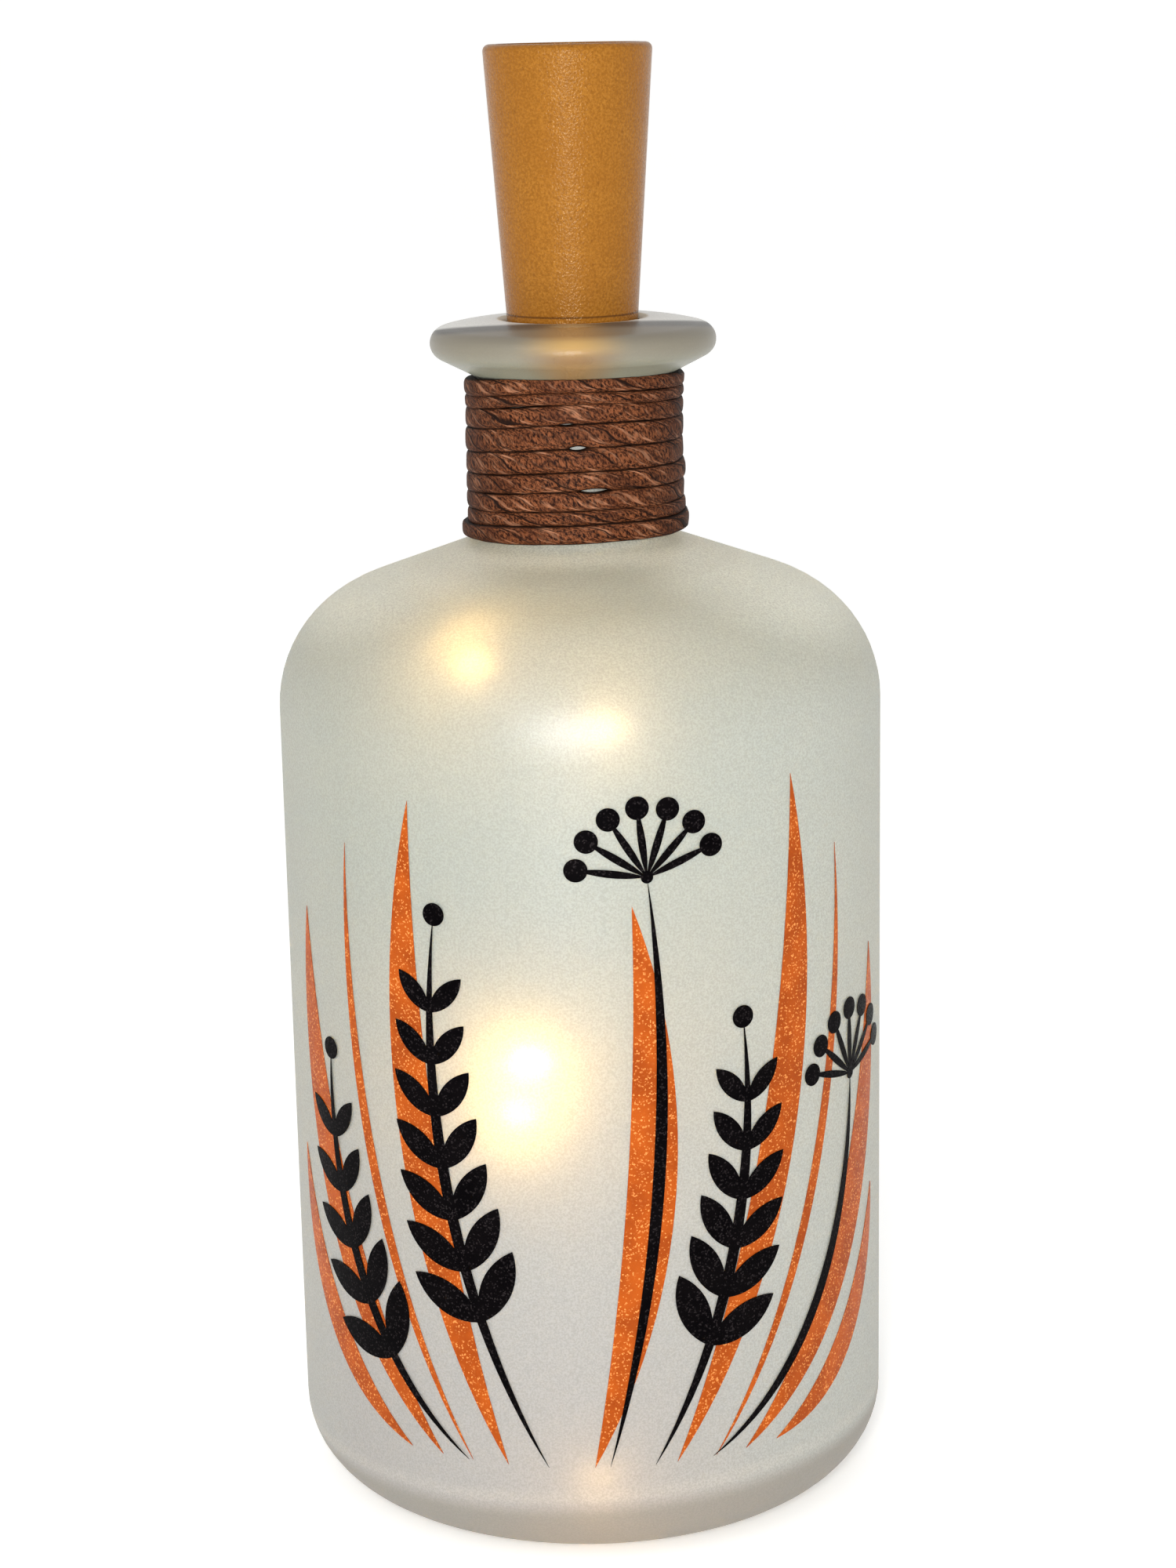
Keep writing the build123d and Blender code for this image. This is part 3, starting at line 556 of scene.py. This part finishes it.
def vinyl(name, deep, bright, glitter, roughness, shine):
    """Cut film: satin, with fine glitter that catches the light, whose glints are partly painted as
    lighter specks.
    """
    material, tree, where = new_material(name)
    grains = add(tree, "TexVoronoi", Vector=where, Scale=5200.0, Randomness=1.0)
    sparkle = add(tree, "SeparateColor", Color=grains.outputs["Color"]).outputs[0]
    broad = noise_texture(tree, where, 220.0, detail=3.0)
    tone = blend_colours(tree, steps(tree, broad, 0.3, 0.7), deep, bright)
    # Painted glints: the glitter's specks get a lighter colour
    painted_glints = blend_colours(tree, steps(tree, sparkle, 0.80, 0.98, to_high=0.55), tone, glitter)
    gloss = steps(tree, sparkle, 0.0, 1.0, roughness * 1.2, roughness * 0.7)
    shader = principled(
        tree, Base_Color=painted_glints, Roughness=gloss, Specular_IOR_Level=shine,
        Normal=bumped(tree, sparkle, 0.18, 0.04),
    )
    close_material(tree, shader)
    return material


def fold_lines(tree, along, pitch, bend, dark):
    """Lines of painted shade in the paper's creases, a pitch apart, that follow the twist, bent,
    and left out here and there.
    """
    lanes = calc(tree, "DIVIDE", split(tree, along)[1], pitch)
    swing = stretched_noise(tree, along, (0.1 / pitch, 0.8 / pitch), (pitch, pitch, 0))
    phase = calc(tree, "FRACT", calc(tree, "ADD", lanes, product(tree, swing, bend)))
    apart = calc(tree, "ABSOLUTE", calc(tree, "SUBTRACT", phase, 0.5))
    line = steps(tree, apart, FOLD_WIDTH / pitch, 3 * FOLD_WIDTH / pitch, dark, 0.0)
    patches = stretched_noise(tree, along, (0.14, 0.4), (0, pitch, 0))
    return product(tree, line, steps(tree, patches, 0.40, 0.52))


def paper_cord():
    """Twisted kraft paper: mottled, with painted shade at its sides, in its folds and where its
    rows meet.
    """
    material, tree, where = new_material("paper_cord")
    along = add(tree, "UVMap", {"uv_map": "twist"}).outputs[0]
    out = split(tree, add(tree, "UVMap", {"uv_map": "round"}).outputs[0])[0]
    mottle = stretched_noise(tree, along, (2.4, 4.2), detail=2.0, roughness=0.7)
    streaks = stretched_noise(tree, along, (0.22, 2.0), detail=3.0, roughness=0.6)
    broad = noise_texture(tree, where, 240.0)
    fold = calc(tree, "MAXIMUM", *[fold_lines(tree, along, *lines) for lines in CORD_FOLDS])
    tone = blend_colours(
        tree, steps(tree, mottle, 0.36, 0.66), colour(24, 8, 3), colour(122, 71, 43)
    )
    streaky = blend_colours(
        tree, steps(tree, streaks, 0.53, 0.70, to_high=0.75), tone, colour(174, 122, 92)
    )
    varied = blend_colours(
        tree, steps(tree, broad, 0.40, 0.75, to_high=0.5), streaky, colour(58, 27, 14)
    )
    # Painted shade at the cord's sides
    wide = calc(tree, "ABSOLUTE", split(tree, where)[0])
    side_shaded = blend_colours(
        tree, steps(tree, wide, 0.0075, 0.0140, to_high=0.34), varied, colour(34, 16, 9)
    )
    # Painted shade in the folds' creases
    fold_shaded = blend_colours(tree, fold, side_shaded, colour(22, 9, 5))
    # Painted shade where the rows meet
    joint_shade = steps(tree, out, 0.84, 0.60, to_high=0.9)
    shaded = blend_colours(tree, joint_shade, fold_shaded, colour(14, 6, 3))
    rough = product(tree, calc(tree, "ADD", mottle, streaks), 0.5)
    raised = calc(tree, "SUBTRACT", rough, fold)
    shader = principled(
        tree, Base_Color=shaded, Roughness=0.6, Specular_IOR_Level=0.07,
        Normal=bumped(tree, raised, 0.8, 0.16),
    )
    close_material(tree, shader)
    return material


def lit(name, tone, glow, strength, roughness):
    """Clear resin or phosphor that shines, brightest in the drops half way up and in front."""
    material, tree, where = new_material(name)
    swirl = noise_texture(tree, where, 900.0)
    body = blend_colours(tree, swirl, tone, colour(255, 240, 200))
    _, back, height = split(tree, where)
    power = product(
        tree,
        steps(tree, height, *mm(UPPER_DROPS), strength, strength * LIT_ABOVE),
        steps(tree, height, *mm(BASE_DROPS), LIT_BELOW, 1.0),
        steps(tree, band(tree, height, *MIDDLE_DROPS), 0.0, 1.0, 1.0, LIT_MIDDLE),
        steps(tree, height, *mm(TOP_DROP), 1.0, LIT_TOP),
        steps(tree, back, *mm(FRONT_DROPS), LIT_BEHIND, 1.0),
    )
    shader = principled(
        tree, Base_Color=body, Roughness=roughness, Emission_Color=glow, Emission_Strength=power
    )
    close_material(tree, shader)
    return material


def brushed(name, dark, light, roughness):
    """Plated metal with fine marks round it."""
    material, tree, where = new_material(name)
    drawn = add(tree, "Mapping", Vector=where, Scale=(1.0, 1.0, 14.0)).outputs[0]
    marks = noise_texture(tree, drawn, 900.0, detail=4.0, roughness=0.65)
    tone = blend_colours(tree, marks, dark, light)
    gloss = steps(tree, marks, 0.25, 0.75, roughness * 0.7, roughness * 1.3)
    shader = principled(
        tree, Base_Color=tone, Roughness=gloss, Metallic=1.0,
        Normal=bumped(tree, marks, 0.12, 0.05),
    )
    close_material(tree, shader)
    return material


def new_mesh(name, points, faces, smooth=True):
    mesh = bpy.data.meshes.new(name)
    mesh.from_pydata(points, [], faces)
    mesh.validate()
    mesh.update()
    for face in mesh.polygons:
        face.use_smooth = smooth
    made = bpy.data.objects.new(name, mesh)
    scene.collection.objects.link(made)
    return made


def tube_faces(rings, sides, first=0):
    """Faces of a closed tube whose rings of points follow each other."""
    faces = []
    for ring in range(rings - 1):
        for side in range(sides):
            here = first + ring * sides
            after = (side + 1) % sides
            faces.append((here + side, here + after, here + sides + after, here + sides + side))
    faces.append(tuple(first + side for side in reversed(range(sides))))
    faces.append(tuple(first + (rings - 1) * sides + side for side in range(sides)))
    return faces


def make_camera():
    data = bpy.data.cameras.new("camera")
    data.lens = CAMERA_LENS
    data.sensor_width = CAMERA_SENSOR
    data.shift_x = CAMERA_SHIFT
    data.clip_start = CAMERA_CLIP * MM
    made = bpy.data.objects.new("camera", data)
    made.location = (0, -CAMERA_DISTANCE * MM, CAMERA_HEIGHT * MM)
    tilt = Euler((math.radians(90 - CAMERA_PITCH), 0, 0)).to_matrix()
    roll = Euler((0, 0, math.radians(CAMERA_ROLL))).to_matrix()
    made.rotation_euler = (tilt @ roll).to_euler()
    scene.collection.objects.link(made)
    scene.camera = made


def wire_path():
    """Points along the smooth line that has the route's points as its control points."""
    curve = bpy.data.curves.new("wire_path", "CURVE")
    curve.dimensions = "3D"
    curve.resolution_u = ROUTE_STEPS
    spline = curve.splines.new("NURBS")
    spline.points.add(len(WIRE_ROUTE) - 1)
    for point, place in zip(spline.points, WIRE_ROUTE):
        point.co = (*mm(place), 1)
    spline.order_u = ROUTE_ORDER
    spline.use_endpoint_u = True
    made = bpy.data.objects.new("wire_path", curve)
    scene.collection.objects.link(made)
    bpy.context.view_layer.update()
    mesh = bpy.data.meshes.new_from_object(made)
    points = [vertex.co.copy() for vertex in mesh.vertices]
    bpy.data.objects.remove(made)
    return points


def light_wire(path):
    """Two enamelled strands twisted round each other along the path."""
    points = []
    faces = []
    rings = len(path)
    for strand in range(STRAND_COUNT):
        first = len(points)
        run = 0.0
        across = Vector((1, 0, 0))
        for index, middle in enumerate(path):
            before = path[max(index - 1, 0)]
            after = path[min(index + 1, rings - 1)]
            run += (middle - before).length
            way = (after - before).normalized()
            across = (across - way * across.dot(way)).normalized()
            up = way.cross(across)
            twist = 2 * math.pi * (run / (STRAND_PITCH * MM) + strand / STRAND_COUNT)
            out = across * math.cos(twist) + up * math.sin(twist)
            centre = middle + out * STRAND_OFFSET * MM
            for side in range(STRAND_SIDES):
                turn = 2 * math.pi * side / STRAND_SIDES
                ray = across * math.cos(turn) + up * math.sin(turn)
                points.append(centre + ray * STRAND_RADIUS * MM)
        faces += tube_faces(rings, STRAND_SIDES, first)
    return new_mesh("light_wire", points, faces)


def row_edge(turn):
    """Height of the edge between neighbouring rows after that many turns, flat at both ends."""
    spread = (CORD_TOP - CORD_BOTTOM) / sum(CORD_ROWS)
    edges = [CORD_BOTTOM]
    for width in CORD_ROWS:
        edges.append(edges[-1] + width * spread)
    place = min(max(turn - 0.5, 0.0), len(CORD_ROWS))
    row = min(int(place), len(CORD_ROWS) - 1)
    height = edges[row] + (edges[row + 1] - edges[row]) * (place - row)
    upward = (height - CORD_BOTTOM) / (CORD_TOP - CORD_BOTTOM)
    front = max(0.0, -math.cos(2 * math.pi * turn)) ** 2
    return height + front * (CORD_RISE_LOW + (CORD_RISE_HIGH - CORD_RISE_LOW) * upward)


def slit(turn):
    """Half height of the gap between a row and the next one up."""
    return sum(
        high * max(0.0, 1 - ((turn - middle) / half) ** 2) for middle, half, high in CORD_SLITS
    )


def wander(run, size, waves, place):
    """A smooth random change along the cord."""
    return size * noise.noise((run * waves, place, 0))


def crease(lane, run, size, across, along, place):
    """A smooth random change that follows the cord's twist."""
    return size * noise.noise((lane * across, run * along, place))


def squared(part):
    """A sine or cosine, pushed outwards so that the cord's section is a flattened square."""
    return math.copysign(abs(part) ** (2 / CORD_SQUARENESS), part)


def wound_cord():
    """The paper cord: flattened rows of uneven width, side by side, folded by their twist."""
    points = []
    twist = []
    depth = []
    rings = len(CORD_ROWS) * CORD_STEPS_PER_TURN + 1
    for ring in range(rings):
        turn = ring / CORD_STEPS_PER_TURN
        angle = math.pi / 2 + 2 * math.pi * turn
        run = 2 * math.pi * turn * (NECK_RADIUS + CORD_OUTER) / 2
        out = Vector((math.cos(angle), math.sin(angle), 0))
        low = row_edge(turn) + slit(turn - 1)
        high = row_edge(turn + 1) - slit(turn)
        middle_z = (low + high) / 2 + wander(run, *CORD_SWAY) + wander(run, *CORD_RIPPLE)
        half = (high - low) / 2 + CORD_OVERLAP + wander(run, *CORD_UNEVEN)
        foot = CORD_FOOT_STAND_OUT * max(0.0, 1 - turn) ** CORD_FOOT_CURVE
        swell = wander(run, *CORD_SWELL) + wander(turn, *CORD_LONG_SWELL)
        thick = (CORD_OUTER - NECK_RADIUS) / 2 + swell
        middle_r = NECK_RADIUS + foot + thick
        for side in range(CORD_SIDES):
            turned = math.pi + 2 * math.pi * side / CORD_SIDES
            rho = squared(math.cos(turned))
            zeta = squared(math.sin(turned))
            lane = side / CORD_SIDES * CORD_GIRTH + CORD_TWIST_SLOPE * run
            push = crease(lane, run, *CORD_LUMPS) + crease(lane, run, *CORD_PLEATS)
            r = middle_r + rho * (thick + push)
            z = middle_z + zeta * (half + push * CORD_EDGE_SHARE)
            z = min(z, LIP_ROOT + LIP_SLOPE * (r - NECK_RADIUS))
            points.append((out * r + Vector((0, 0, z))) * MM)
            twist.append((run, lane))
            depth.append((max(rho, 0.0), 0.0))
    cord = new_mesh("wound_cord", points, tube_faces(rings, CORD_SIDES))
    for name, values in (("twist", twist), ("round", depth)):
        layer = cord.data.uv_layers.new(name=name)
        for loop in cord.data.loops:
            layer.data[loop.index].uv = values[loop.vertex_index]
    return cord


def area_light(name, place, aim, wide, high, power):
    data = bpy.data.lights.new(name, "AREA")
    data.shape = "ELLIPSE"
    data.size = wide
    data.size_y = high
    data.energy = power
    made = bpy.data.objects.new(name, data)
    made.location = place
    made.rotation_euler = (Vector(aim) - Vector(place)).to_track_quat("-Z", "Y").to_euler()
    scene.collection.objects.link(made)


def studio():
    """Pale floor and soft light."""
    world = bpy.data.worlds.new("studio")
    world.use_nodes = True
    sky = world.node_tree.nodes["Background"]
    sky.inputs["Color"].default_value = (1.0, 1.0, 1.0, 1)
    sky.inputs["Strength"].default_value = SKY_STRENGTH
    scene.world = world
    ways = [2 * math.pi * step / FLOOR_SIDES for step in range(FLOOR_SIDES)]
    points = [
        (reach * math.cos(way), reach * math.sin(way), up)
        for reach, up in ((FLOOR_RADIUS, 0), (RIM_RADIUS, RIM_HEIGHT))
        for way in ways
    ]
    faces = [tuple(range(FLOOR_SIDES))]
    for step in range(FLOOR_SIDES):
        after = (step + 1) % FLOOR_SIDES
        faces.append((step, after, FLOOR_SIDES + after, FLOOR_SIDES + step))
    floor = new_mesh("floor", points, faces, smooth=False)
    material, tree, where = new_material("floor")
    cloud = noise_texture(tree, where, 3.0)
    tone = blend_colours(tree, cloud, colour(253, 253, 252), colour(255, 255, 254))
    shader = principled(
        tree, Base_Color=tone, Roughness=0.9, Specular_IOR_Level=0.1,
        Emission_Color=tone, Emission_Strength=FLOOR_GLOW,
    )
    close_material(tree, shader)
    floor.data.materials.append(material)
    area_light("front", **FRONT_LIGHT)
    area_light("key", **KEY_LIGHT)


def dress(material, *names):
    for name in names:
        for slot in nodes[name].material_slots:
            slot.material = material


make_camera()

path = wire_path()
wire = light_wire(path)
copper = brushed("enamelled_copper", colour(150, 84, 40), colour(214, 136, 78), roughness=0.3)
wire.data.materials.append(copper)
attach(wire, "stopper")
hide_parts("led_wire")

cord = wound_cord()
cord.data.materials.append(paper_cord())
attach(cord, "bottle")
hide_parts("neck_cord")

# Bottle and print
dress(frosted_glass(), "bottle_glass")
orange = vinyl(
    "orange_vinyl", colour(144, 60, 8), colour(168, 76, 15), colour(246, 164, 90),
    roughness=0.36, shine=0.08,
)
dress(orange, "print_orange")
ink = vinyl(
    "black_vinyl", colour(2, 1, 2), colour(6, 4, 5), colour(46, 41, 42),
    roughness=0.40, shine=0.02,
)
dress(ink, "print_black")

# Stopper and lights
dress(cork_plastic(), "cork_shell", "battery_lid")
resin = lit(
    "lit_resin", colour(255, 228, 160), colour(255, 198, 108), DROP_LIGHT, roughness=0.12
)
dress(resin, "led_drops")
phosphor = lit(
    "lit_chip", colour(255, 236, 150), colour(255, 219, 148), CHIP_LIGHT, roughness=0.3
)
dress(phosphor, "led_chips")

# What is inside the stopper
black = moulded(
    "black_plastic", colour(18, 18, 19), colour(44, 44, 46), roughness=0.45, grain=2400.0, bump=0.3
)
dress(black, "switch_knob", "switch_body", "battery_holder")
nickel = brushed("nickel", colour(150, 148, 142), colour(214, 212, 206), roughness=0.26)
dress(nickel, "lid_screw", "positive_contact", "negative_contact", "negative_spring")
can = brushed("cell_steel", colour(176, 174, 168), colour(228, 226, 220), roughness=0.2)
dress(can, "battery_cell_1", "battery_cell_2", "battery_cell_3")
tin = moulded(
    "tin", colour(150, 150, 148), colour(216, 216, 212),
    roughness=0.3, grain=1500.0, bump=0.4, metallic=1.0,
)
dress(tin, "switch_terminals", "solder_joint")
board = moulded(
    "board_green", colour(14, 70, 34), colour(34, 112, 58), roughness=0.35, grain=900.0, bump=0.15
)
dress(board, "circuit_board")
ceramic = moulded(
    "resistor_black", colour(14, 14, 14), colour(40, 40, 42), roughness=0.5, grain=3000.0, bump=0.3
)
dress(ceramic, "resistor")
red = moulded(
    "red_sleeve", colour(140, 16, 14), colour(196, 34, 28), roughness=0.42, grain=1800.0, bump=0.2
)
dress(red, "positive_lead")
rubber = moulded(
    "black_rubber", colour(20, 20, 21), colour(46, 46, 47), roughness=0.6, grain=2000.0, bump=0.3
)
dress(rubber, "negative_lead", "splice_sleeve", "wire_grommet")

studio()
